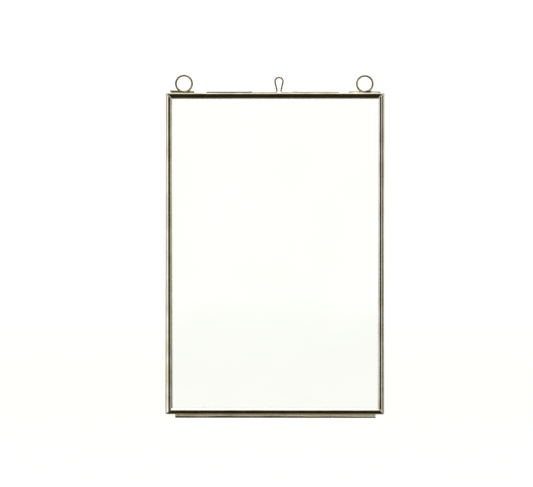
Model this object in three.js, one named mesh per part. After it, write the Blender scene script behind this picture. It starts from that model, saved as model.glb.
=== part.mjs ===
// A hanging double-glass frame for pressed flowers: two panes, each in its own frame of thin
// soldered metal channel, hinged together along the bottom edge. The back half carries two wire
// hanging rings and a spring wire clip that keeps the front half shut.
// Millimetres, +Z up. The front faces -Y. The origin is where the frame hangs: halfway across it,
// in the plane of the two rings, at the height where a cord bears on the inside of their tops.

import * as THREE from 'three';

// Driving dimensions
const FRAME_WIDTH = 106;            // outside, across both side rails
const FRAME_HEIGHT = 156;           // outside, bottom edge to top edge, without hinge and rings
const RAIL_WIDTH = 2.9;             // channel seen from the front
const SHEET = 0.35;                 // channel wall
const PANE_THICKNESS = 2;
const FIT_GAP = 0.25;               // clearance kept between pieces that touch
const HALVES_GAP = 0.4;             // between the two frames when shut
const CROWN_EDGE = 0.12;            // flat edge of the outer lip, below its swell
const CROWN_HEIGHT = 0.55;          // how far the half-round outer lip swells
const INNER_EDGE_RADIUS = 0.5;      // rounded edge of the lip that meets the other half
const WIRE_LINE = 1.9;              // wires on the top edge, from the plane where the halves meet

const BARREL_RADIUS = 0.9;
const BARREL_BORE_RADIUS = 0.55;
const BARREL_DROP = 1;              // hinge axis below the frame's bottom edge
const BARREL_START = -48.5;
const BARREL_END = 48.8;
const KNUCKLE_SPLITS = [-33, 28];   // where the front half's knuckle starts and ends
const KNUCKLE_GAP = 0.3;
const PIN_RADIUS = 0.35;
const PIN_OVERHANG = 0.15;          // peened ends outside the barrel

const RING_WIRE_RADIUS = 0.4;
const RING_PITCH = 1.06;            // how far the wire steps back where it passes itself
const RINGS = [
  { name: 'hanging_ring_left', x: -44.3, loopRadius: 3.95, leftTail: 6.7, rightTail: 5 },
  { name: 'hanging_ring_right', x: 43.6, loopRadius: 3.85, leftTail: 7.9, rightTail: 7.6 },
];

const CLIP_WIRE_RADIUS = 0.3;
const CLIP_LEFT_ARM = [-33.3, -13.5];
const CLIP_RIGHT_ARM = [31.1, 10.8];
const CLIP_CRANK_LENGTH = 2.6;      // run in which an arm crosses from the back half to the front
const CLIP_BEND = 0.6;              // how far a bend in the crank is rounded to either side
const CLIP_LOOP_X = 1.8;
const CLIP_LOOP_RADIUS = 1.95;
const CLIP_LOOP_HEIGHT = 6.9;       // arms' centreline to the loop's top
// One foot of the loop, from the straight wire to the neck: distance from the loop's middle, height
const CLIP_FOOT = [[3.6, 0], [2.4, 0.05], [1.45, 0.5], [0.95, 1.4], [0.98, 2.2]];
const CLIP_LOOP_ANGLES = [-25, 0, 30, 60, 90, 120, 150, 180, 205];

const METAL = { color: 0xb9b3a2, roughness: 0.18, metalness: 1 };
const GLASS = { color: 0xeef5ee, roughness: 0.02, metalness: 0, transparent: true, opacity: 0.3 };

// Worked out from the above
const SLOT = PANE_THICKNESS + 2 * FIT_GAP;
const CROWN_BASE = SHEET + SLOT + CROWN_EDGE;
const INNER_FACE = HALVES_GAP / 2;
const PANE_Y = INNER_FACE + SHEET + FIT_GAP + PANE_THICKNESS / 2;
const HANG_HEIGHT = FRAME_HEIGHT + FIT_GAP + 2 * Math.min(...RINGS.map((ring) => ring.loopRadius));

const CROWN_STEPS = 10;
const EDGE_STEPS = 3;
const BARREL_SIDES = 16;
const PIN_SIDES = 12;
const WIRE_SIDES = 8;
const RING_TURN_STEPS = 28;         // points on a ring's turn
const RING_STEPS = 56;              // facets along a whole ring with its tails
const CLIP_STEPS = 120;

function mesh(name, geometry, finish) {
  const made = new THREE.Mesh(geometry, new THREE.MeshStandardMaterial(finish));
  made.name = name;
  return made;
}

// Section of a rail: x is the distance inward from the frame's outside edge, y the distance out
// from the plane where the two halves meet. A half-round lip is on the outside, a flat one inside.
function channelSection() {
  const section = new THREE.Shape();
  section.moveTo(RAIL_WIDTH, 0);
  section.lineTo(RAIL_WIDTH, SHEET);
  section.lineTo(SHEET, SHEET);
  section.lineTo(SHEET, SHEET + SLOT);
  section.lineTo(RAIL_WIDTH, SHEET + SLOT);
  section.lineTo(RAIL_WIDTH, CROWN_BASE);
  for (let step = 1; step <= CROWN_STEPS; step += 1) {
    const angle = Math.PI * step / CROWN_STEPS;
    const x = RAIL_WIDTH / 2 * (1 + Math.cos(angle));
    section.lineTo(x, CROWN_BASE + CROWN_HEIGHT * Math.sin(angle));
  }
  for (let step = 0; step <= EDGE_STEPS; step += 1) {
    const angle = Math.PI / 2 * step / EDGE_STEPS;
    const x = INNER_EDGE_RADIUS * (1 - Math.cos(angle));
    section.lineTo(x, INNER_EDGE_RADIUS * (1 - Math.sin(angle)));
  }
  return section;
}

// A rail of the given outside length, lying along X with its outside edge at z = 0 and its slot
// facing +Z, both ends cut at 45 degrees and shortened by the gap at the mitre.
function mitredRail(length) {
  const geometry = new THREE.ExtrudeGeometry(channelSection(), { depth: 1, bevelEnabled: false });
  const position = geometry.attributes.position;
  for (let i = 0; i < position.count; i += 1) {
    const inward = position.getX(i);
    const outward = position.getY(i);
    const side = position.getZ(i) > 0 ? -1 : 1;
    const end = length / 2 - inward - FIT_GAP / 2;
    position.setXYZ(i, side * end, outward, inward);
  }
  geometry.computeVertexNormals();
  return geometry;
}

// The four rails of one half, round the middle of the frame. Only the back half is drawn: the
// front half is the same thing turned round the vertical axis.
function railRing(half) {
  const places = [
    { name: 'bottom', length: FRAME_WIDTH, reach: FRAME_HEIGHT / 2, turn: 0 },
    { name: 'right', length: FRAME_HEIGHT, reach: FRAME_WIDTH / 2, turn: -1 },
    { name: 'top', length: FRAME_WIDTH, reach: FRAME_HEIGHT / 2, turn: 2 },
    { name: 'left', length: FRAME_HEIGHT, reach: FRAME_WIDTH / 2, turn: 1 },
  ];
  const ring = new THREE.Group();
  for (const place of places) {
    const geometry = mitredRail(place.length);
    geometry.translate(0, INNER_FACE, -place.reach);
    geometry.rotateY(place.turn * Math.PI / 2);
    const mirrored = half === 'front' && (place.name === 'left' || place.name === 'right');
    const side = mirrored ? { left: 'right', right: 'left' }[place.name] : place.name;
    ring.add(mesh(`${half}_rail_${side}`, geometry, METAL));
  }
  ring.position.z = FRAME_HEIGHT / 2;
  return ring;
}

function pane(half) {
  const inset = 2 * (SHEET + FIT_GAP);
  const geometry = new THREE.BoxGeometry(FRAME_WIDTH - inset, PANE_THICKNESS, FRAME_HEIGHT - inset);
  const made = mesh(`${half}_pane`, geometry, GLASS);
  made.position.set(0, PANE_Y, FRAME_HEIGHT / 2);
  return made;
}

// One length of the hinge barrel, lying along X on the hinge axis.
function knuckle(name, start, end) {
  const profile = [
    new THREE.Vector2(BARREL_BORE_RADIUS, start),
    new THREE.Vector2(BARREL_RADIUS, start),
    new THREE.Vector2(BARREL_RADIUS, end),
    new THREE.Vector2(BARREL_BORE_RADIUS, end),
    new THREE.Vector2(BARREL_BORE_RADIUS, start),
  ];
  const geometry = new THREE.LatheGeometry(profile, BARREL_SIDES);
  geometry.rotateZ(-Math.PI / 2);
  const made = mesh(name, geometry, METAL);
  made.position.z = -BARREL_DROP;
  return made;
}

function hingePin() {
  const start = BARREL_START - PIN_OVERHANG;
  const end = BARREL_END + PIN_OVERHANG;
  const geometry = new THREE.CylinderGeometry(PIN_RADIUS, PIN_RADIUS, end - start, PIN_SIDES);
  geometry.rotateZ(Math.PI / 2);
  const made = mesh('hinge_pin', geometry, METAL);
  made.position.set((start + end) / 2, 0, -BARREL_DROP);
  return made;
}

function wire(name, points, radius, steps) {
  const section = new THREE.Shape();
  section.absarc(0, 0, radius, 0, 2 * Math.PI);
  const path = new THREE.CatmullRomCurve3(points, false, 'centripetal');
  const options = { steps, extrudePath: path, curveSegments: WIRE_SIDES / 2, bevelEnabled: false };
  return mesh(name, new THREE.ExtrudeGeometry(section, options), METAL);
}

// A hanging ring: a straight tail, one full turn that steps back as it climbs so that the wire
// passes behind itself at the base, and the other tail.
function hangingRing({ name, x, loopRadius, leftTail, rightTail }) {
  const base = FRAME_HEIGHT + FIT_GAP + RING_WIRE_RADIUS;
  const front = WIRE_LINE - RING_PITCH / 2;
  const points = [
    new THREE.Vector3(x - leftTail, front, base),
    new THREE.Vector3(x - leftTail / 2, front, base),
  ];
  for (let step = 0; step <= RING_TURN_STEPS; step += 1) {
    const share = step / RING_TURN_STEPS;
    const angle = 2 * Math.PI * share;
    const across = loopRadius * Math.sin(angle);
    const up = loopRadius * (1 - Math.cos(angle));
    points.push(new THREE.Vector3(x + across, front + RING_PITCH * share, base + up));
  }
  points.push(new THREE.Vector3(x + rightTail / 2, front + RING_PITCH, base));
  points.push(new THREE.Vector3(x + rightTail, front + RING_PITCH, base));
  return wire(name, points, RING_WIRE_RADIUS, RING_STEPS);
}

// One arm of the clip, from its outer end to where it has crossed to the front half's top edge.
function clipArm(outerEnd, innerEnd) {
  const inward = Math.sign(innerEnd - outerEnd);
  const crossed = innerEnd + inward * CLIP_CRANK_LENGTH;
  return [
    [outerEnd, WIRE_LINE],
    [(outerEnd + innerEnd) / 2, WIRE_LINE],
    [innerEnd - inward * CLIP_BEND, WIRE_LINE],
    [innerEnd + inward * CLIP_BEND, WIRE_LINE - CLIP_BEND],
    [crossed - inward * CLIP_BEND, -WIRE_LINE + CLIP_BEND],
    [crossed + inward * CLIP_BEND, -WIRE_LINE],
  ];
}

// The clip: both arms lie on the back half's top edge, the middle is cranked forward so that it
// bears on the top edge of the front half, and a keyhole-shaped finger loop stands up from it.
function closureClip() {
  const base = FRAME_HEIGHT + FIT_GAP + CLIP_WIRE_RADIUS;
  const loopCentre = CLIP_LOOP_HEIGHT - CLIP_LOOP_RADIUS;
  const loop = CLIP_FOOT.map(([across, up]) => [-across, up]);
  for (const degrees of CLIP_LOOP_ANGLES) {
    const angle = THREE.MathUtils.degToRad(180 - degrees);
    const up = loopCentre + CLIP_LOOP_RADIUS * Math.sin(angle);
    loop.push([CLIP_LOOP_RADIUS * Math.cos(angle), up]);
  }
  loop.push(...[...CLIP_FOOT].reverse());
  const lying = ([x, y]) => new THREE.Vector3(x, y, base);
  const standing = ([across, up]) => new THREE.Vector3(CLIP_LOOP_X + across, -WIRE_LINE, base + up);
  const points = [
    ...clipArm(...CLIP_LEFT_ARM).map(lying),
    ...loop.map(standing),
    ...clipArm(...CLIP_RIGHT_ARM).map(lying).reverse(),
  ];
  return wire('closure_clip', points, CLIP_WIRE_RADIUS, CLIP_STEPS);
}

function backHalf() {
  const half = new THREE.Group();
  half.add(railRing('back'), pane('back'));
  half.add(knuckle('hinge_knuckle_left', BARREL_START, KNUCKLE_SPLITS[0] - KNUCKLE_GAP / 2));
  half.add(knuckle('hinge_knuckle_right', KNUCKLE_SPLITS[1] + KNUCKLE_GAP / 2, BARREL_END));
  half.add(hingePin(), closureClip(), ...RINGS.map(hangingRing));
  return half;
}

function frontHalf() {
  const turned = new THREE.Group();
  turned.add(railRing('front'), pane('front'));
  turned.rotation.z = Math.PI;
  const half = new THREE.Group();
  const [start, end] = KNUCKLE_SPLITS;
  half.add(turned, knuckle('hinge_knuckle_centre', start + KNUCKLE_GAP / 2, end - KNUCKLE_GAP / 2));
  return half;
}

const frame = new THREE.Group();
frame.add(backHalf(), frontHalf());
frame.position.set(0, -WIRE_LINE, -HANG_HEIGHT);

export default frame;
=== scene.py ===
from math import atan2, cos, pi, radians, sin, sqrt, tan

import bpy
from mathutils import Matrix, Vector


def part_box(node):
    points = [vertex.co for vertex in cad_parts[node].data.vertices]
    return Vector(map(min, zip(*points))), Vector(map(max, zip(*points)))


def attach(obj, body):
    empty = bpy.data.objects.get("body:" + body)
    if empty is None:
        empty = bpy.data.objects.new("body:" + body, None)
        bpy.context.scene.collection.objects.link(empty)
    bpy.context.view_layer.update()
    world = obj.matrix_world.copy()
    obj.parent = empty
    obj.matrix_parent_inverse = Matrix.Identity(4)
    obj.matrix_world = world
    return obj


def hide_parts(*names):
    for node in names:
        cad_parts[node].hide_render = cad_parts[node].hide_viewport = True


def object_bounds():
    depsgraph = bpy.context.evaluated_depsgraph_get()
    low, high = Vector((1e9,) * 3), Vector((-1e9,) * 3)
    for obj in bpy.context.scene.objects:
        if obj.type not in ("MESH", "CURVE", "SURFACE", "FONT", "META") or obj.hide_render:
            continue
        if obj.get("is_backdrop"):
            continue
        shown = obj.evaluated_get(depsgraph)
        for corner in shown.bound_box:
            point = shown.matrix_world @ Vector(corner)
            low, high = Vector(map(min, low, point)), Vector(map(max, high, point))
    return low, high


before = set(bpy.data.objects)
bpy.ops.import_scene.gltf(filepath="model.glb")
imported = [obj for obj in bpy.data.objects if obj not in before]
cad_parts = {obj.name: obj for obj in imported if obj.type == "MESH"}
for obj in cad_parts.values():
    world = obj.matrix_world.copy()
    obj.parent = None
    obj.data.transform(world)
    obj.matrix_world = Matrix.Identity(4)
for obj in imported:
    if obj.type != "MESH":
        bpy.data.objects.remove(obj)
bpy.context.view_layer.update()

# ---------------------------------------------------------------------------------------------
# The panes: two sheets of clear 2 mm float glass cut to one size, one for each half of the frame.
# Their edges are stoned off, so that they slide into the channel without chipping.

MM = 0.001
GLASS_ARRIS = 0.3 * MM
GLASS_IOR = 1.52
GLASS_TINT = (0.80, 0.95, 0.84, 1)
GLASS_TINT_DENSITY = 12    # per metre of glass
GLASS_CLEAR = (1, 1, 1)
GLASS_FAINT = (0.985, 0.99, 0.98)
GLASS_CLOUDS = 25          # to the metre
GLASS_HAZE = 0.012         # roughness where the polish is least good
GLASS_HAZE_CLOUDS = 60
GLASS_RIPPLE = 0.002 * MM
GLASS_RIPPLES = 35         # to the metre


def deselect_all():
    bpy.ops.object.select_all(action="DESELECT")


def apply_place():
    bpy.ops.object.transform_apply(location=True, rotation=True, scale=True)


def new_material(name):
    """A node material, with its nodes and its Principled shader."""
    material = bpy.data.materials.new(name)
    material.use_nodes = True
    nodes = material.node_tree.nodes
    return material, nodes, nodes["Principled BSDF"]


def noise(nodes, scale, stretch=(1, 1, 1), detail=3):
    """Cloudy noise from 0 to 1 over the piece, scale waves to the metre, squeezed by stretch."""
    links = nodes.id_data.links
    place = nodes.new("ShaderNodeTexCoord")
    turn = nodes.new("ShaderNodeMapping")
    turn.inputs["Scale"].default_value = stretch
    links.new(place.outputs["Object"], turn.inputs["Vector"])
    cloud = nodes.new("ShaderNodeTexNoise")
    cloud.inputs["Scale"].default_value = scale
    cloud.inputs["Detail"].default_value = detail
    links.new(turn.outputs["Vector"], cloud.inputs["Vector"])
    return cloud.outputs["Fac"]


def spread(nodes, source, low=0, high=1, start=0.3, end=0.7):
    """A pattern or distance from start to end, brought to values from low to high."""
    span = nodes.new("ShaderNodeMapRange")
    span.inputs["From Min"].default_value = start
    span.inputs["From Max"].default_value = end
    span.inputs["To Min"].default_value = low
    span.inputs["To Max"].default_value = high
    nodes.id_data.links.new(source, span.inputs["Value"])
    return span.outputs["Result"]


def between(nodes, source, low, high, target):
    """Carries a 0-to-1 pattern to a number socket, as a value from low to high."""
    nodes.id_data.links.new(spread(nodes, source, low, high), target)


def tones(nodes, source, target, *stops):
    """Carries a 0-to-1 pattern to a colour socket through (place, colour) stops."""
    ramp = nodes.new("ShaderNodeValToRGB")
    marks = ramp.color_ramp.elements
    while len(marks) < len(stops):
        marks.new(0.5)
    for mark, (place, colour) in zip(marks, stops):
        mark.position = place
        mark.color = (*colour, 1)
    nodes.id_data.links.new(source, ramp.inputs["Fac"])
    nodes.id_data.links.new(ramp.outputs["Color"], target)


def relief(nodes, source, depth, strength=1):
    """Bumps the surface by depth metres between the pattern's lows and highs."""
    bump = nodes.new("ShaderNodeBump")
    bump.inputs["Strength"].default_value = strength
    bump.inputs["Distance"].default_value = depth
    nodes.id_data.links.new(source, bump.inputs["Height"])
    nodes.id_data.links.new(bump.outputs["Normal"], nodes["Principled BSDF"].inputs["Normal"])


def clear_float_glass():
    """See-through, faintly green through its thickness, with a trace of polishing haze."""
    material, nodes, shader = new_material("clear_float_glass")
    shader.inputs["Transmission Weight"].default_value = 1
    shader.inputs["IOR"].default_value = GLASS_IOR
    skin = shader.inputs["Base Color"]
    tones(nodes, noise(nodes, GLASS_CLOUDS), skin, (0.3, GLASS_FAINT), (0.7, GLASS_CLEAR))
    between(nodes, noise(nodes, GLASS_HAZE_CLOUDS), 0, GLASS_HAZE, shader.inputs["Roughness"])
    relief(nodes, noise(nodes, GLASS_RIPPLES, detail=0), GLASS_RIPPLE, strength=0.2)
    tint = nodes.new("ShaderNodeVolumeAbsorption")
    tint.inputs["Color"].default_value = GLASS_TINT
    tint.inputs["Density"].default_value = GLASS_TINT_DENSITY
    volume = nodes["Material Output"].inputs["Volume"]
    material.node_tree.links.new(tint.outputs["Volume"], volume)
    return material


glass = clear_float_glass()
for half in ("back", "front"):
    low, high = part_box(f"{half}_pane")
    deselect_all()
    bpy.ops.mesh.primitive_cube_add(size=1, location=(low + high) / 2, scale=high - low)
    sheet = bpy.context.object
    sheet.name = f"glass_{half}"
    apply_place()
    bpy.ops.object.mode_set(mode="EDIT")
    bpy.ops.mesh.bevel(offset=GLASS_ARRIS, segments=1, affect="EDGES")
    bpy.ops.object.mode_set(mode="OBJECT")
    sheet.data.materials.append(glass)
    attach(sheet, f"{half}_frame")
    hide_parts(f"{half}_pane")

# ---------------------------------------------------------------------------------------------
# The rails: channel rolled from thin nickel-coloured strip, with a low half-round lip outside and a
# flat lip where the halves meet. Four lengths are mitred round each pane and soldered at the corners.

top_low, top_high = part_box("front_rail_top")
back_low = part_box("back_rail_top")[0]

FRAME_WIDTH = 2 * round(top_high.x, 3)
FRAME_TOP = top_high.z
FRAME_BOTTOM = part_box("front_rail_bottom")[0].z
FRAME_HEIGHT = FRAME_TOP - FRAME_BOTTOM
FRAME_MIDDLE = (FRAME_TOP + FRAME_BOTTOM) / 2
RAIL_WIDTH = top_high.z - top_low.z
RAIL_DEPTH = top_high.y - top_low.y
MATING_Y = (top_high.y + back_low.y) / 2    # the plane where the two halves meet
INNER_FACE = back_low.y - MATING_Y          # each half's clearance from that plane
SHEET = 0.35 * MM
CROWN_HEIGHT = 0.55 * MM                    # swell of the half-round outer lip
CROWN_EDGE = 0.12 * MM                      # flat edge below the swell
CROWN_BASE = RAIL_DEPTH - CROWN_HEIGHT
SLOT = CROWN_BASE - CROWN_EDGE - SHEET      # room for the pane between the lips
BACK_TRIM = 0.4 * MM                        # off the back half's crowns, but for the left one
INNER_EDGE_RADIUS = 0.5 * MM
INNER_EDGE_STEPS = 5
CORNER_CUT = 0.45 * MM                      # filed off the sharp tip of a mitre
CUT_THRESHOLD = 0.0001 * MM
SAME_PLACE = 0.01 * MM
SQUARE_ON = 0.9                             # share of a normal along an axis, for a face across it
SAME_PLANE = radians(1)
SMOOTH_ANGLE = radians(35)
CROWN_FACETS = 56
RAIL_STEPS = 70
WAVINESS = 0.03 * MM
WAVE_LENGTH = 14 * MM

NICKEL_LIGHT = (0.71, 0.68, 0.56)
NICKEL_DULL = (0.55, 0.51, 0.40)
NICKEL_PATCHES = 120                        # to the metre
NICKEL_GLOSS = (0.04, 0.12)                 # roughness, from the brightest to the dullest streak
NICKEL_STREAKS = 500                        # to the metre, across the rail
NICKEL_GRAIN = 0.01 * MM
NICKEL_LINES = 900
LEVEL = (0.05, 1, 1)                        # how streaks are drawn out along a rail
UPRIGHT = (1, 1, 0.05)
# Painted shade along the frame's top edge: a darker coat, in patches, standing in for the dark
# reflections of the wires and solder above it
TOP_EDGE_SHADE = (0.16, 0.14, 0.09)
TOP_EDGE_SHADE_REACH = 0.9 * MM                       # how far the painted shade reaches down from the top edge
TOP_EDGE_SHADE_PATCHES = 90
TOP_EDGE_SHADE_LEAST = 0.2                            # share of the painted shade between the patches

# How far each crown was rolled over towards the outer edge of the frame, how far it is twisted from
# end to end, and how much was trimmed off its flat lip
HAND_WORK = {
    "bottom": (radians(-8.5), 0, 0.3 * MM),
    "top": (radians(-8.5), 0, 0),
    "right": (radians(8), radians(6), 0.3 * MM),
    "left": (radians(2.5), radians(7), 0),
}


def select_parts(domain, wanted):
    """In edit mode, selects just those faces or edges of the piece for which wanted(part) is true."""
    bpy.ops.mesh.select_all(action="DESELECT")
    bpy.ops.object.mode_set(mode="OBJECT")
    mesh = bpy.context.object.data
    for part in getattr(mesh, domain):
        part.select = wanted(part)
    bpy.ops.object.mode_set(mode="EDIT")
    bpy.ops.mesh.select_mode(type="FACE" if domain == "polygons" else "EDGE")


def lies_at(edge, axis, value):
    """Whether both ends of the edge are at that value along the axis."""
    points = bpy.context.object.data.vertices
    return all(abs(points[end].co[axis] - value) < SAME_PLACE for end in edge.vertices)


def spans(edge, least):
    """Whether the edge is at least that long."""
    points = bpy.context.object.data.vertices
    start, end = (points[end].co for end in edge.vertices)
    return (end - start).length > least


def measured(nodes, axis):
    """The distance along one of the frame's axes, in metres."""
    place = nodes.new("ShaderNodeTexCoord")
    split = nodes.new("ShaderNodeSeparateXYZ")
    nodes.id_data.links.new(place.outputs["Object"], split.inputs[0])
    return split.outputs[axis]


def both(nodes, first, second):
    """The product of two patterns."""
    product = nodes.new("ShaderNodeMath")
    product.operation = "MULTIPLY"
    nodes.id_data.links.new(first, product.inputs[0])
    nodes.id_data.links.new(second, product.inputs[1])
    return product.outputs[0]


def coat(nodes, share, colour):
    """Lays a colour over the metal's own, as thick as the 0-to-1 pattern says."""
    links = nodes.id_data.links
    skin = nodes["Principled BSDF"].inputs["Base Color"]
    blend = nodes.new("ShaderNodeMix")
    blend.data_type = "RGBA"
    links.new(share, blend.inputs["Factor"])
    links.new(skin.links[0].from_socket, blend.inputs["A"])
    blend.inputs["B"].default_value = (*colour, 1)
    links.new(blend.outputs["Result"], skin)


def rolled_nickel(name, stretch):
    """Bright rolled strip: drawn-out streaks, dulled patches, and painted shade along the top edge that
    dims its highlight.
    """
    material, nodes, shader = new_material(name)
    shader.inputs["Metallic"].default_value = 1
    skin = shader.inputs["Base Color"]
    tones(nodes, noise(nodes, NICKEL_PATCHES), skin, (0.3, NICKEL_DULL), (0.6, NICKEL_LIGHT))
    # Painted shade: the coat darkens the top edge and dims its highlight, in place of the dark
    # reflections from the wires above
    reach = spread(nodes, measured(nodes, "Z"), 0, 1, FRAME_TOP - TOP_EDGE_SHADE_REACH, FRAME_TOP)
    patches = spread(nodes, noise(nodes, TOP_EDGE_SHADE_PATCHES), TOP_EDGE_SHADE_LEAST, 1)
    coat(nodes, both(nodes, reach, patches), TOP_EDGE_SHADE)
    streaks = noise(nodes, NICKEL_STREAKS, stretch)
    between(nodes, streaks, *NICKEL_GLOSS, shader.inputs["Roughness"])
    relief(nodes, noise(nodes, NICKEL_LINES, stretch, detail=2), NICKEL_GRAIN, strength=0.15)
    return material


def crown_width(half, place):
    """How wide the half-round lip is."""
    return RAIL_WIDTH if half == "front" or place == "left" else RAIL_WIDTH - BACK_TRIM


def rail(half, place, length, reach, turn):
    """One mitred rail. It is made along X with its outer edge down, then stood in its place."""
    lean, twist, trimmed = HAND_WORK[place]
    half_length = length / 2
    radius = crown_width(half, place) / 2
    deselect_all()
    bpy.ops.mesh.primitive_cylinder_add(
        vertices=CROWN_FACETS, radius=radius, depth=length + RAIL_WIDTH,
        location=(0, CROWN_BASE, radius), rotation=(0, pi / 2, 0), scale=(1, CROWN_HEIGHT / radius, 1))
    made = bpy.context.object
    made.name = f"channel_{half}_{place}"
    bpy.ops.object.transform_apply(location=False, rotation=True, scale=True)
    made.rotation_euler = (-lean, 0, 0)
    apply_place()
    bpy.ops.object.mode_set(mode="EDIT")
    bpy.ops.mesh.select_all(action="SELECT")
    bpy.ops.mesh.bisect(plane_co=(0, CROWN_BASE, 0), plane_no=(0, 1, 0), use_fill=True,
                        clear_inner=True, threshold=CUT_THRESHOLD)
    # The lip's edge, the web and the inner lip are pulled from the flat back of the half round
    select_parts("polygons", lambda face: face.normal.y < -SQUARE_ON)
    bpy.ops.mesh.extrude_region_move(TRANSFORM_OT_translate={"value": (0, -CROWN_EDGE, 0)})
    bpy.ops.mesh.select_all(action="SELECT")
    bpy.ops.mesh.bisect(plane_co=(0, 0, SHEET), plane_no=(0, 0, 1), threshold=CUT_THRESHOLD)
    select_parts("polygons", lambda face: face.normal.y < -SQUARE_ON and face.center.z < SHEET)
    bpy.ops.mesh.extrude_region_move(TRANSFORM_OT_translate={"value": (0, -SLOT, 0)})
    bpy.ops.mesh.extrude_region_move(TRANSFORM_OT_translate={"value": (0, -SHEET, 0)})
    select_parts("polygons", lambda face: face.normal.z > SQUARE_ON and face.center.y < SHEET)
    lip = RAIL_WIDTH - trimmed - SHEET
    bpy.ops.mesh.extrude_region_move(TRANSFORM_OT_translate={"value": (0, 0, lip)})
    bpy.ops.mesh.select_all(action="SELECT")
    bpy.ops.mesh.dissolve_limited(angle_limit=SAME_PLANE)
    select_parts("edges", lambda edge: lies_at(edge, 1, 0) and lies_at(edge, 2, 0))
    bpy.ops.mesh.bevel(offset=INNER_EDGE_RADIUS, segments=INNER_EDGE_STEPS, affect="EDGES")
    # Mitres, and the corner's sharp tip filed off
    for side in (-1, 1):
        bpy.ops.mesh.select_all(action="SELECT")
        bpy.ops.mesh.bisect(plane_co=(side * half_length, 0, 0), plane_no=(side, 0, 1),
                            use_fill=True, clear_outer=True, threshold=CUT_THRESHOLD)
        bpy.ops.mesh.select_all(action="SELECT")
        bpy.ops.mesh.bisect(plane_co=(side * (half_length - CORNER_CUT), 0, 0), plane_no=(side, 0, -1),
                            use_fill=True, clear_outer=True, threshold=CUT_THRESHOLD)
    # The long edges are divided, so that the rail can twist and waver
    select_parts("edges", lambda edge: spans(edge, length - 3 * RAIL_WIDTH))
    bpy.ops.mesh.subdivide(number_cuts=RAIL_STEPS)
    bpy.ops.mesh.select_all(action="SELECT")
    bpy.ops.mesh.normals_make_consistent(inside=False)
    bpy.ops.object.mode_set(mode="OBJECT")
    twisting = made.modifiers.new("twist", "SIMPLE_DEFORM")
    twisting.deform_method = "TWIST"
    twisting.deform_axis = "X"
    twisting.angle = twist
    bpy.ops.object.modifier_apply(modifier="twist")
    made.location = (0, INNER_FACE, -reach)
    apply_place()
    made.rotation_euler = (0, turn * pi / 2, pi if half == "front" else 0)
    made.location = (0, MATING_Y, FRAME_MIDDLE)
    apply_place()
    return made


def make_wavy(piece, strength, wave_length):
    """Gives a worked metal surface its slow, shallow unevenness."""
    clouds = bpy.data.textures.new(f"{piece.name}_waves", "CLOUDS")
    clouds.noise_scale = wave_length
    waves = piece.modifiers.new("waves", "DISPLACE")
    waves.texture = clouds
    waves.texture_coords = "LOCAL"
    waves.strength = strength
    bpy.context.view_layer.objects.active = piece
    bpy.ops.object.modifier_apply(modifier="waves")


def finish_metal(piece, material, body, *nodes):
    """Smooths the piece's rounds, gives it its metal and fixes it to its half of the frame."""
    deselect_all()
    piece.select_set(True)
    bpy.context.view_layer.objects.active = piece
    bpy.ops.object.shade_smooth_by_angle(angle=SMOOTH_ANGLE)
    piece.data.materials.append(material)
    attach(piece, body)
    if nodes:
        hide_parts(*nodes)


level_strip = rolled_nickel("rolled_nickel_level", LEVEL)
upright_strip = rolled_nickel("rolled_nickel_upright", UPRIGHT)
# Each rail's length, how far its outer edge is from the frame's middle, its quarter turns and strip
RAIL_PLACES = {
    "bottom": (FRAME_WIDTH, FRAME_HEIGHT / 2, 0, level_strip),
    "top": (FRAME_WIDTH, FRAME_HEIGHT / 2, 2, level_strip),
    "right": (FRAME_HEIGHT, FRAME_WIDTH / 2, -1, upright_strip),
    "left": (FRAME_HEIGHT, FRAME_WIDTH / 2, 1, upright_strip),
}
# The front half is made as the back half is, then turned about, so its left and right change places
TURNED_ABOUT = {"left": "right", "right": "left", "top": "top", "bottom": "bottom"}
for half in ("back", "front"):
    for side, (length, reach, turn, strip) in RAIL_PLACES.items():
        place = TURNED_ABOUT[side] if half == "front" else side
        piece = rail(half, place, length, reach, turn)
        make_wavy(piece, WAVINESS, WAVE_LENGTH)
        finish_metal(piece, strip, f"{half}_frame", f"{half}_rail_{place}")

# ---------------------------------------------------------------------------------------------
# The hinge: a thin tube along the bottom edge, cut in three. The outer lengths are soldered to the
# back half and the middle one to the front half, and a wire pin with peened ends runs through them.

BORE_RADIUS = 0.55 * MM
TUBE_SIDES = 32
TUBE_STEPS = 24
TUBE_MEETING = 0.09 * MM      # how far each tube reaches into the gap to the next
TUBE_WAVE_LENGTH = 6 * MM
PIN_SIDES = 20
PIN_DOME = 0.12 * MM
PIN_DOME_STEPS = 3

DRAWN_PATCHES = 140           # to the metre, on drawn tube and wire
DRAWN_GLOSS = (0.12, 0.3)     # roughness, from bright to dull
DRAWN_STREAKS = 600
DRAWN_LINES = 1200
DRAWN_OUT = (0.06, 1, 1)      # how streaks are drawn out along a tube
TIN_DULL = (0.75, 0.69, 0.49)
TIN_BRIGHT = (0.97, 0.90, 0.66)
TIN_GLOSS = (0.5, 0.65)
TIN_SHINE = 0.6               # how metallic the wiped tin looks
# Painted shade: the dark line along the underside of the hinge tubes stands in for the shadow and dark
# reflection below them
TUBE_UNDERSIDE_SHADE = (0.035, 0.026, 0.010)
TUBE_UNDERSIDE_SHADE_FADE = 0.2 * MM
TUBE_UNDERSIDE_SHADE_WANDER = 0.2 * MM
TUBE_UNDERSIDE_SHADE_WAVES = 45            # to the metre
UNDERSIDE = FRAME_BOTTOM - 0.95 * MM    # where the painted shade on the tubes' underside begins


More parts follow.
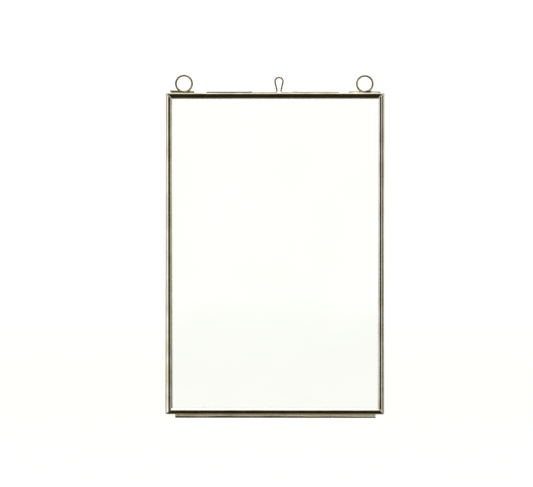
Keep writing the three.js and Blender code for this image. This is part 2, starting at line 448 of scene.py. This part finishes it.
def plain_nickel(name, stretch, tarnish, clean, gloss=DRAWN_GLOSS):
    """Nickel tube or wire: fine drawn lines and a little dullness in patches."""
    material, nodes, shader = new_material(name)
    shader.inputs["Metallic"].default_value = 1
    skin = shader.inputs["Base Color"]
    tones(nodes, noise(nodes, DRAWN_PATCHES), skin, (0.3, tarnish), (0.65, clean))
    between(nodes, noise(nodes, DRAWN_STREAKS, stretch), *gloss, shader.inputs["Roughness"])
    relief(nodes, noise(nodes, DRAWN_LINES, stretch, detail=2), NICKEL_GRAIN, strength=0.3)
    return material


def tinned_tube():
    """Tube wiped with tin: satin, half matt, with a wandering dark line of painted shade along its
    underside.
    """
    material = plain_nickel("tinned_tube", DRAWN_OUT, TIN_DULL, TIN_BRIGHT, TIN_GLOSS)
    nodes = material.node_tree.nodes
    nodes["Principled BSDF"].inputs["Metallic"].default_value = TIN_SHINE
    # Painted shade: below a wandering line, the tube is darkened as if it were in shadow
    height = nodes.new("ShaderNodeMath")
    waves = noise(nodes, TUBE_UNDERSIDE_SHADE_WAVES, detail=1)
    wander = spread(nodes, waves, -TUBE_UNDERSIDE_SHADE_WANDER, TUBE_UNDERSIDE_SHADE_WANDER)
    material.node_tree.links.new(measured(nodes, "Z"), height.inputs[0])
    material.node_tree.links.new(wander, height.inputs[1])
    share = spread(nodes, height.outputs[0], 1, 0, UNDERSIDE - TUBE_UNDERSIDE_SHADE_FADE, UNDERSIDE)
    coat(nodes, share, TUBE_UNDERSIDE_SHADE)
    return material


def round_bar(name, low, high, sides):
    """A round bar along X that fills the box from low to high, left in edit mode."""
    deselect_all()
    bpy.ops.mesh.primitive_cylinder_add(
        vertices=sides, radius=(high.z - low.z) / 2, depth=high.x - low.x,
        location=(low + high) / 2, rotation=(0, pi / 2, 0))
    made = bpy.context.object
    made.name = name
    apply_place()
    bpy.ops.object.mode_set(mode="EDIT")
    return made


tube_metal = tinned_tube()
for side, body in (("left", "back_frame"), ("centre", "front_frame"), ("right", "back_frame")):
    low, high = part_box(f"hinge_knuckle_{side}")
    if side != "left":
        low.x -= TUBE_MEETING
    if side != "right":
        high.x += TUBE_MEETING
    tube = round_bar(f"hinge_tube_{side}", low, high, TUBE_SIDES)
    select_parts("polygons", lambda face: abs(face.normal.x) > SQUARE_ON)
    bpy.ops.mesh.inset(thickness=(high.z - low.z) / 2 - BORE_RADIUS)
    bpy.ops.mesh.bridge_edge_loops()
    select_parts("edges", lambda edge: spans(edge, (high.x - low.x) / 2))
    bpy.ops.mesh.subdivide(number_cuts=TUBE_STEPS)
    bpy.ops.mesh.select_all(action="SELECT")
    bpy.ops.mesh.normals_make_consistent(inside=False)
    bpy.ops.object.mode_set(mode="OBJECT")
    make_wavy(tube, WAVINESS, TUBE_WAVE_LENGTH)
    finish_metal(tube, tube_metal, body, f"hinge_knuckle_{side}")

low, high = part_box("hinge_pin")
pin = round_bar("hinge_wire_pin", low, high, PIN_SIDES)
select_parts("polygons", lambda face: abs(face.normal.x) > SQUARE_ON)
bpy.ops.mesh.bevel(offset=PIN_DOME, segments=PIN_DOME_STEPS, affect="EDGES")
bpy.ops.object.mode_set(mode="OBJECT")
finish_metal(pin, tube_metal, "back_frame", "hinge_pin")

# ---------------------------------------------------------------------------------------------
# The hanging rings: each is one length of hard wire bent a full turn round a rod, so that it passes
# behind itself at the base, with its two tails lying along the top edge, where they are soldered.

RING_WIRE = 0.4 * MM
PLATING = 0.05 * MM           # thickness that plating and tarnish add all round a wire
RING_PITCH = 1.06 * MM
RING_TURN_STEPS = 72
WIRE_SIDES = 16
TAIL_STEPS = 10
WIRE_END = 0.12 * MM
WIRE_END_STEPS = 2
WIRE_WAVES = 0.035 * MM
WIRE_WAVE_LENGTH = 3 * MM
SECTION_REACH = 1.2           # wire radii from a section's centre, within which its edges are
# Tails: the lengths of the front one, which runs left, and of the one behind it, which runs right. Lift:
# how far the front one's end rises. Blob: the place of the solder that holds both, to the right of the
# ring's middle and above the frame's top edge.
RINGS = {
    "left": {
        "x": -44.3 * MM,
        "radius": 3.95 * MM,
        "tails": (6.7 * MM, 5 * MM),
        "lift": 0.35 * MM,
        "blob": (0.9 * MM, 0.5 * MM),
    },
    "right": {
        "x": 43.6 * MM,
        "radius": 3.85 * MM,
        "tails": (7.9 * MM, 7.6 * MM),
        "lift": 0,
        "blob": (1.5 * MM, 0.8 * MM),
    },
}

EVEN = (1, 1, 1)              # patches and lines on bent wire, not drawn out
WIRE_BROWNED = (0.090, 0.065, 0.028)
WIRE_STRAW = (0.33, 0.27, 0.14)
SCRAPED = (0.55, 0.52, 0.42)
# Where the scraping is full and where it has faded out: above the top edge, and inward and outward of
# the ring's middle
SCRAPED_UP = (0.9 * MM, 1.5 * MM)
SCRAPED_IN = (3.2 * MM, 2.4 * MM)
SCRAPED_OUT = (3.6 * MM, 2.9 * MM)


def wire_section(name, centre, radius):
    """A circle of wire section at the centre, across X, left in edit mode."""
    deselect_all()
    bpy.ops.mesh.primitive_circle_add(
        vertices=WIRE_SIDES, radius=radius, location=centre, rotation=(0, pi / 2, 0))
    made = bpy.context.object
    made.name = name
    apply_place()
    bpy.ops.object.mode_set(mode="EDIT")
    return made


def select_section(centre, reach):
    """Selects the ring of edges that stands across X at the centre."""
    points = bpy.context.object.data.vertices

    def belongs(edge):
        halfway = (points[edge.vertices[0]].co + points[edge.vertices[1]].co) / 2
        return lies_at(edge, 0, centre.x) and (halfway - centre).length < reach

    select_parts("edges", belongs)


def draw_out(run, steps):
    """Lengthens the wire from the selected section by run."""
    for _ in range(steps):
        bpy.ops.mesh.extrude_edges_move(TRANSFORM_OT_translate={"value": run / steps})


def close_end(depth):
    """Caps the selected section and takes off its sharp rim."""
    bpy.ops.mesh.edge_face_add()
    bpy.ops.mesh.select_mode(type="FACE")
    bpy.ops.mesh.bevel(offset=depth, segments=WIRE_END_STEPS, affect="EDGES")


def finish_wire(piece, material, cad_node):
    """Turns the wire's skin outwards, lets it waver as hand-bent wire does, and fixes it."""
    bpy.ops.mesh.select_all(action="SELECT")
    bpy.ops.mesh.normals_make_consistent(inside=False)
    bpy.ops.object.mode_set(mode="OBJECT")
    make_wavy(piece, WIRE_WAVES, WIRE_WAVE_LENGTH)
    finish_metal(piece, material, "back_frame", cad_node)


def ring_wire():
    """Hard wire browned all round by the torch, but scraped bright along the right-hand ring's tails."""
    material = plain_nickel("ring_wire", EVEN, WIRE_BROWNED, WIRE_STRAW)
    nodes = material.node_tree.nodes
    ring_x = RINGS["right"]["x"]
    full, gone = SCRAPED_UP
    low_down = spread(nodes, measured(nodes, "Z"), 1, 0, FRAME_TOP + full, FRAME_TOP + gone)
    full, gone = SCRAPED_IN
    inner = spread(nodes, measured(nodes, "X"), 1, 0, ring_x - full, ring_x - gone)
    right_half = spread(nodes, measured(nodes, "X"), 0, 1, 0, MM)
    inner = both(nodes, inner, right_half)
    full, gone = SCRAPED_OUT
    outer = spread(nodes, measured(nodes, "X"), 0, 1, ring_x + gone, ring_x + full)
    coat(nodes, both(nodes, low_down, inner), SCRAPED)
    coat(nodes, both(nodes, low_down, outer), SCRAPED)
    return material


ring_metal = ring_wire()
for side, ring in RINGS.items():
    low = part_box(f"hanging_ring_{side}")[0]
    foot = Vector((ring["x"], low.y + RING_WIRE, low.z + RING_WIRE))
    centre = foot + Vector((0, 0, ring["radius"]))
    # The turn: a section at the foot of the ring, screwed once round the ring's own axis
    loop = wire_section(f"wire_ring_{side}", foot, RING_WIRE + PLATING)
    bpy.ops.mesh.select_all(action="SELECT")
    bpy.ops.transform.translate(value=-centre)
    bpy.ops.object.mode_set(mode="OBJECT")
    turn = loop.modifiers.new("turn", "SCREW")
    turn.axis = "Y"
    turn.angle = -2 * pi
    turn.screw_offset = RING_PITCH
    turn.steps = turn.render_steps = RING_TURN_STEPS
    bpy.ops.object.modifier_apply(modifier="turn")
    loop.location = centre
    apply_place()
    # The tails, drawn out from the two ends of the turn
    bpy.ops.object.mode_set(mode="EDIT")
    behind = foot + Vector((0, RING_PITCH, 0))
    left_tail, right_tail = ring["tails"]
    left_run = Vector((-left_tail, 0, ring["lift"]))
    right_run = Vector((right_tail, 0, 0))
    for end, run in ((foot, left_run), (behind, right_run)):
        select_section(end, SECTION_REACH * RING_WIRE)
        draw_out(run, TAIL_STEPS)
        close_end(WIRE_END)
    finish_wire(loop, ring_metal, f"hanging_ring_{side}")

# ---------------------------------------------------------------------------------------------
# The clip: one length of thinner spring wire. Its arms lie on the back half's top edge, its middle is
# cranked forward over the front half's top edge, and a keyhole loop stands up there for a finger.

CLIP_WIRE = 0.3 * MM
LOOP_X = 1.95 * MM
LOOP_RADIUS = 1.95 * MM
SETTLING = 0.2 * MM           # the solid stands clear of the rail that the wire in fact lies on
LOOP_HEIGHT = 6.9 * MM + SETTLING
LOOP_PINCH = radians(13)      # how far the loop's sides lean in towards the neck
FOOT_RADIUS = 0.75 * MM
CRANK_RADIUS = 0.9 * MM
CRANK_RUN = 2.6 * MM
# Where the arm to the right and the arm to the left start and end, in X
CLIP_ARMS = {1: (10.8 * MM, 31.1 * MM), -1: (-13.5 * MM, -33.3 * MM)}
# Steps along each stretch of the wire, from the loop's top outwards
CLIP_STEPS = {"loop": 20, "side": 6, "foot": 10, "middle": 8, "bend": 6, "crank": 4, "arm": 24}

SPRING_DULL = (0.62, 0.60, 0.50)
SPRING_BRIGHT = (0.85, 0.83, 0.72)
SPRING_EDGE = (0.5, 0.44, 0.33, 1)    # tone of the reflection at the wire's edges
BURNT = (0.03, 0.024, 0.014)
BURNT_FADE = (-12 * MM, -10.8 * MM)   # in X, on the left arm
DULLED = (0.40, 0.37, 0.29)
DULLED_FADE = (9.5 * MM, 11 * MM)     # in X, on the right arm
HANDLED = (0.17, 0.135, 0.07)
HANDLED_FADE = (0.1 * MM, 1.2 * MM)   # above the wire that lies along the edge

low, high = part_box("closure_clip")
front_line = low.y + CLIP_WIRE
back_line = high.y - CLIP_WIRE
crank_turn = atan2(back_line - front_line, CRANK_RUN)
crank_trim = CRANK_RADIUS * tan(crank_turn / 2)
crank_length = sqrt((back_line - front_line) ** 2 + CRANK_RUN ** 2) - 2 * crank_trim
base = low.z + CLIP_WIRE - SETTLING
loop_top = Vector((LOOP_X, front_line, base + LOOP_HEIGHT))
eye = loop_top - Vector((0, 0, LOOP_RADIUS))


def bend(centre, axis, angle, steps):
    """Carries the selected section right-handed about the axis; Spin's own angle is left-handed."""
    bpy.ops.mesh.spin(steps=steps, angle=-angle, center=centre, axis=axis)


def spring_wire():
    """Bright hard wire, burnt by soldering along its left arm, dull on the right and at the loop."""
    material = plain_nickel("spring_wire", EVEN, SPRING_DULL, SPRING_BRIGHT)
    nodes = material.node_tree.nodes
    nodes["Principled BSDF"].inputs["Specular Tint"].default_value = SPRING_EDGE
    across = measured(nodes, "X")
    coat(nodes, spread(nodes, across, 1, 0, *BURNT_FADE), BURNT)
    coat(nodes, spread(nodes, across, 0, 1, *DULLED_FADE), DULLED)
    fade, fade_end = HANDLED_FADE
    coat(nodes, spread(nodes, measured(nodes, "Z"), 0, 1, base + fade, base + fade_end), HANDLED)
    return material


clip = wire_section("wire_clip", loop_top, CLIP_WIRE + PLATING)
for way, (arm_start, arm_end) in CLIP_ARMS.items():
    select_section(loop_top, SECTION_REACH * CLIP_WIRE)
    # Half the loop, the leaning side and the foot
    outward = Vector((way * cos(LOOP_PINCH), 0, -sin(LOOP_PINCH)))
    bend(eye, (0, 1, 0), way * (pi / 2 + LOOP_PINCH), CLIP_STEPS["loop"])
    side_top = eye + LOOP_RADIUS * outward
    heading = Vector((-way * sin(LOOP_PINCH), 0, -cos(LOOP_PINCH)))
    neck = base + FOOT_RADIUS * (1 + sin(LOOP_PINCH))
    run = heading * (side_top.z - neck) / cos(LOOP_PINCH)
    draw_out(run, CLIP_STEPS["side"])
    foot = side_top + run + FOOT_RADIUS * outward
    bend(foot, (0, 1, 0), -way * (pi / 2 + LOOP_PINCH), CLIP_STEPS["foot"])
    # Along the front half's top edge, back across to the other half's, and out along it
    bend_start = arm_start - way * (CRANK_RUN + crank_trim)
    draw_out(Vector((bend_start - foot.x, 0, 0)), CLIP_STEPS["middle"])
    turn_in = Vector((bend_start, front_line + CRANK_RADIUS, base))
    bend(turn_in, (0, 0, 1), way * crank_turn, CLIP_STEPS["bend"])
    draw_out(crank_length * Vector((way * cos(crank_turn), sin(crank_turn), 0)), CLIP_STEPS["crank"])
    turn_out = Vector((arm_start + way * crank_trim, back_line - CRANK_RADIUS, base))
    bend(turn_out, (0, 0, 1), -way * crank_turn, CLIP_STEPS["bend"])
    draw_out(Vector((arm_end - turn_out.x, 0, 0)), CLIP_STEPS["arm"])
    close_end(WIRE_END)
finish_wire(clip, spring_wire(), "closure_clip")

# ---------------------------------------------------------------------------------------------
# The solder: soft tin run into the mitres, under the tails and arms of the wires, and along the hinge
# tubes. It is laid on by hand, so each bead is a little different, and it sets to a satin grey.

SOLDER_LIGHT = (0.66, 0.65, 0.60)
SOLDER_GREY = (0.40, 0.39, 0.34)
FLUXED_LIGHT = (0.22, 0.20, 0.15)
FLUXED_GREY = (0.07, 0.06, 0.035)
SOLDER_PATCHES = 400            # to the metre
SOLDER_GLOSS = (0.22, 0.42)
SOLDER_FROST = 700
SOLDER_PUCKER = 0.03 * MM
SOLDER_PUCKERS = 1500
BEAD_SIDES = 24
BEAD_RINGS = 14
BEAD_WAVES = 0.12 * MM
BEAD_WAVE_LENGTH = 0.9 * MM

# Half the length, depth and height of each kind of bead
MITRE_BEAD = (1.75 * MM, 0.22 * MM, 0.42 * MM)
TIP_BEAD = (0.42 * MM, 1.45 * MM, 0.42 * MM)
BLOB = (1.5 * MM, 0.55 * MM, 0.5 * MM)
CLIP_BEAD = (2.2 * MM, 0.55 * MM, 0.28 * MM)
TAIL_BEAD_SHARE = 0.46          # of the tail's length, to either side of its middle
TAIL_BEAD_DEPTH = 0.62 * MM
TAIL_BEAD_HEIGHT = 0.42 * MM
MITRE_BEAD_SINK = 0.14 * MM     # below the top of the crowns
TIP_BEAD_INSET = 0.42 * MM
TAIL_BEAD_LIFT = 0.15 * MM      # above the frame's top edge
BLOB_BACK = 0.35 * MM           # behind the front of the ring's wire
CLIP_BEAD_LIFT = 0.03 * MM


def soft_solder(name, dull, bright):
    """Satin tin with a slightly frosted, puckered skin."""
    material, nodes, shader = new_material(name)
    shader.inputs["Metallic"].default_value = 1
    skin = shader.inputs["Base Color"]
    tones(nodes, noise(nodes, SOLDER_PATCHES), skin, (0.35, dull), (0.6, bright))
    between(nodes, noise(nodes, SOLDER_FROST), *SOLDER_GLOSS, shader.inputs["Roughness"])
    relief(nodes, noise(nodes, SOLDER_PUCKERS), SOLDER_PUCKER, strength=0.6)
    return material


clean_solder = soft_solder("clean_solder", SOLDER_GREY, SOLDER_LIGHT)
fluxed_solder = soft_solder("fluxed_solder", FLUXED_GREY, FLUXED_LIGHT)


def bead(name, centre, size, half, solder, lean=0):
    """A hand-run bead of solder: a ball drawn out to size, leaned about Y, and made uneven."""
    deselect_all()
    bpy.ops.mesh.primitive_uv_sphere_add(
        segments=BEAD_SIDES, ring_count=BEAD_RINGS, radius=1,
        location=centre, rotation=(0, lean, 0), scale=size)
    made = bpy.context.object
    made.name = name
    apply_place()
    make_wavy(made, BEAD_WAVES, BEAD_WAVE_LENGTH)
    finish_metal(made, solder, f"{half}_frame")


for half, way in (("front", -1), ("back", 1)):
    for end, level in (("top", 1), ("bottom", -1)):
        for side, hand in (("left", -1), ("right", 1)):
            corner = Vector((hand * FRAME_WIDTH / 2, MATING_Y, FRAME_MIDDLE + level * FRAME_HEIGHT / 2))
            inward = Vector((-hand, 0, -level))
            lean = hand * level * -pi / 4
            on_crown = Vector((0, way * (INNER_FACE + RAIL_DEPTH - MITRE_BEAD_SINK), 0))
            mitre = corner + on_crown + inward * crown_width(half, end) / 2
            bead(f"solder_{half}_{end}_{side}_mitre", mitre, MITRE_BEAD, half, clean_solder, lean)
            on_web = Vector((0, way * (INNER_FACE + RAIL_DEPTH / 2), 0))
            tip = corner + on_web + inward * TIP_BEAD_INSET
            bead(f"solder_{half}_{end}_{side}_tip", tip, TIP_BEAD, half, clean_solder, lean)

for side, ring in RINGS.items():
    low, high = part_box(f"hanging_ring_{side}")
    left_tail, right_tail = ring["tails"]
    solder = fluxed_solder if side == "left" else clean_solder
    for name, way, depth, tail in (("inner", -1, low.y + RING_WIRE, left_tail),
                                   ("outer", 1, high.y - RING_WIRE, right_tail)):
        centre = Vector((ring["x"] + way * tail / 2, depth, FRAME_TOP + TAIL_BEAD_LIFT))
        size = (tail * TAIL_BEAD_SHARE, TAIL_BEAD_DEPTH, TAIL_BEAD_HEIGHT)
        bead(f"solder_ring_{side}_{name}", centre, size, "back", solder)
    right, up = ring["blob"]
    centre = Vector((ring["x"] + right, low.y + BLOB_BACK, FRAME_TOP + up))
    bead(f"solder_ring_{side}_foot", centre, BLOB, "back", fluxed_solder)

for way, (arm_start, arm_end) in CLIP_ARMS.items():
    centre = Vector(((arm_start + arm_end) / 2, back_line, FRAME_TOP + CLIP_BEAD_LIFT))
    side = "right" if way == 1 else "left"
    bead(f"solder_clip_{side}", centre, CLIP_BEAD, "back", fluxed_solder)

# The fillets along the hinge tubes are drawn out as rods of solder
FILLET_INSET = 0.3 * MM         # short of each end of the tube
FILLET_BACK = 0.8 * MM          # from the plane where the halves meet
FILLET_DROP = 0.12 * MM         # below the frame's bottom edge
FILLET_RADIUS = 0.32 * MM
FILLET_SIDES = 16
FILLET_END = 0.2 * MM
FILLET_END_STEPS = 3
FILLET_STEPS = 60
FILLET_WAVES = 0.2 * MM
FILLET_WAVE_LENGTH = 1.4 * MM

for side, half, way in (("left", "back", 1), ("centre", "front", -1), ("right", "back", 1)):
    low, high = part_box(f"hinge_knuckle_{side}")
    inset = Vector((FILLET_INSET, 0, 0))
    radius = Vector((0, FILLET_RADIUS, FILLET_RADIUS))
    seam = Vector((0, MATING_Y + way * FILLET_BACK, FRAME_BOTTOM - FILLET_DROP))
    start = Vector((low.x, 0, 0)) + inset + seam - radius
    end = Vector((high.x, 0, 0)) - inset + seam + radius
    fillet = round_bar(f"solder_hinge_{side}", start, end, FILLET_SIDES)
    select_parts("polygons", lambda face: abs(face.normal.x) > SQUARE_ON)
    bpy.ops.mesh.bevel(offset=FILLET_END, segments=FILLET_END_STEPS, affect="EDGES")
    select_parts("edges", lambda edge: spans(edge, (high.x - low.x) / 2))
    bpy.ops.mesh.subdivide(number_cuts=FILLET_STEPS)
    bpy.ops.object.mode_set(mode="OBJECT")
    make_wavy(fillet, FILLET_WAVES, FILLET_WAVE_LENGTH)
    finish_metal(fillet, clean_solder, f"{half}_frame")

# ---------------------------------------------------------------------------------------------
# The studio: a white room with a pale paper floor well below the frame, so that the front has room to
# swing down, and a wide soft light overhead. Cards and dark cloths stand round the frame, where only
# the metal's gloss picks them up, and draw the light and dark lines along the rails.

FRAME_CENTRE = Vector((0, MATING_Y, FRAME_MIDDLE))
FLOOR_DROP = 0.172
FLOOR_RADIUS = 20
FLOOR_SIDES = 96
FLOOR_NEAR = 0.5              # where the paper begins to brighten, and where it is as white as the room
FLOOR_FAR = 7
PAPER_DULL = (0.86, 0.86, 0.84)
PAPER_PALE = (0.9, 0.9, 0.88)
PAPER_PATCHES = 30            # to the metre
PAPER_ROUGHNESS = 0.9
ROOM_COLOUR = (1, 1, 0.972, 1)
ROOM_STRENGTH = 1.07


def paper_floor():
    """Pale paper that brightens into the white of the room with distance."""
    material, nodes, shader = new_material("pale_paper")
    links = material.node_tree.links
    shader.inputs["Roughness"].default_value = PAPER_ROUGHNESS
    skin = shader.inputs["Base Color"]
    tones(nodes, noise(nodes, PAPER_PATCHES), skin, (0.3, PAPER_DULL), (0.7, PAPER_PALE))
    place = nodes.new("ShaderNodeTexCoord")
    far = nodes.new("ShaderNodeVectorMath")
    far.operation = "LENGTH"
    links.new(place.outputs["Object"], far.inputs[0])
    glow = nodes.new("ShaderNodeEmission")
    glow.inputs["Color"].default_value = ROOM_COLOUR
    glow.inputs["Strength"].default_value = ROOM_STRENGTH
    mix = nodes.new("ShaderNodeMixShader")
    whitened = spread(nodes, far.outputs["Value"], 0, 1, FLOOR_NEAR, FLOOR_FAR)
    links.new(whitened, mix.inputs["Fac"])
    links.new(shader.outputs["BSDF"], mix.inputs[1])
    links.new(glow.outputs["Emission"], mix.inputs[2])
    links.new(mix.outputs["Shader"], nodes["Material Output"].inputs["Surface"])
    return material


deselect_all()
bpy.ops.mesh.primitive_circle_add(
    vertices=FLOOR_SIDES, radius=FLOOR_RADIUS, fill_type="NGON",
    location=(0, 0, FRAME_BOTTOM - FLOOR_DROP))
floor = bpy.context.object
floor.name = "pale_floor"
apply_place()
floor.data.materials.append(paper_floor())
floor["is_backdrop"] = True

DARK = (0.03, 0.022, 0.012)
DARK_AT_THE_SIDES = (0.06, 0.052, 0.04)
LENS_LINE = -1.6              # cards beside the lens stand on this line, in Y from the frame's middle
UNDER = -0.247                # cards that lie below the frame, in Z from its middle
CARD_MIDDLE = 0.125           # height of an upright card's middle above the frame's
CARD_HEIGHT = 0.75
SIDE_TURN = radians(64)
BEHIND_TURN = radians(48)


def card(name, centre, size, tone, facing=0, laid=0):
    """A card or cloth of width and height round the centre, seen in glossy metal only.

    It stands upright across the view, turned by facing, or is tipped back by laid.
    """
    deselect_all()
    bpy.ops.mesh.primitive_plane_add(
        size=1, location=FRAME_CENTRE + Vector(centre), rotation=(pi / 2 - laid, 0, facing))
    made = bpy.context.object
    made.name = name
    made.scale = (*size, 1)
    apply_place()
    material, nodes, shader = new_material(name)
    glow = nodes.new("ShaderNodeEmission")
    glow.inputs["Color"].default_value = (*tone, 1)
    material.node_tree.links.new(glow.outputs["Emission"], nodes["Material Output"].inputs["Surface"])
    made.data.materials.append(material)
    made.visible_camera = False
    made.visible_diffuse = False
    made.visible_transmission = False
    made.visible_volume_scatter = False
    made.visible_shadow = False
    made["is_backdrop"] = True


def card_beside_lens(name, x, width, tone):
    """An upright card on the line of the lens."""
    card(name, (x, LENS_LINE, CARD_MIDDLE), (width, CARD_HEIGHT), tone)


card("cloth_round_the_lens", (0.01, LENS_LINE, 0.205), (0.88, 0.91), DARK)
card_beside_lens("card_beside_the_lens", 0.6325, 0.365, (0.95, 0.94, 0.86))
card_beside_lens("cloth_right_of_the_lens", 1.31, 0.99, (0.1, 0.09, 0.07))
card("card_high_at_the_right", (1.82, -0.604, 0.225), (0.577, 0.55), (0.5, 0.49, 0.43), SIDE_TURN)
card("card_low_at_the_right", (1.762, -0.724, -0.15), (0.845, 0.2), (0.25, 0.24, 0.2), SIDE_TURN)
card_beside_lens("light_left_of_the_lens", -0.83, 0.8, (1.35, 1.34, 1.24))
card("card_at_the_left", (-1.6, -0.175, CARD_MIDDLE), (1.65, CARD_HEIGHT), (0.3, 0.29, 0.25), -pi / 2)
card("cloth_behind_the_frame", (0, 1.6, 0.2), (0.7, 0.9), DARK)
card("cloth_behind_at_the_left", (-1.2, 1.1, 0.2), (0.55, 0.9), DARK_AT_THE_SIDES, BEHIND_TURN)
card("cloth_behind_at_the_right", (1.2, 1.1, 0.2), (0.55, 0.9), DARK_AT_THE_SIDES, -BEHIND_TURN)
card("cloth_before_the_frame", (0, -0.9, UNDER), (0.9, 1.4), DARK, laid=pi / 2)
card("card_under_the_frame", (0, 0.075, UNDER), (0.9, 0.55), (0.45, 0.44, 0.38), laid=pi / 2)

OVERHEAD_PLACE = Vector((0, -0.7, 1.6))
OVERHEAD_WIDTH = 2.2
OVERHEAD_DEPTH = 2.6
OVERHEAD_WATTS = 27

bpy.ops.object.light_add(type="AREA", location=FRAME_CENTRE + OVERHEAD_PLACE)
overhead = bpy.context.object
overhead.name = "overhead_softbox"
overhead.data.shape = "RECTANGLE"
overhead.data.size = OVERHEAD_WIDTH
overhead.data.size_y = OVERHEAD_DEPTH
overhead.data.energy = OVERHEAD_WATTS

scene = bpy.context.scene
scene.world = bpy.data.worlds.new("white_room")
scene.world.use_nodes = True
room = scene.world.node_tree.nodes["Background"]
room.inputs["Color"].default_value = ROOM_COLOUR
room.inputs["Strength"].default_value = ROOM_STRENGTH
scene.view_settings.view_transform = "Standard"

# The camera: a long lens, a little to the right of the frame's middle and above it, aimed a little down
# and to the left.
CAMERA_PLACE = FRAME_CENTRE + Vector((15, -1491.8, 29)) * MM
CAMERA_AIM = FRAME_CENTRE + Vector((-4.12, -1.8, 4.93)) * MM
CAMERA_LENS = 207.4
CAMERA_REACH = 100            # metres, past the far edge of the floor
bpy.ops.object.camera_add(location=CAMERA_PLACE)
camera = bpy.context.object
camera.rotation_euler = (CAMERA_AIM - CAMERA_PLACE).to_track_quat("-Z", "Y").to_euler()
camera.data.lens = CAMERA_LENS
camera.data.clip_end = CAMERA_REACH
scene.camera = camera

low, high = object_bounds()
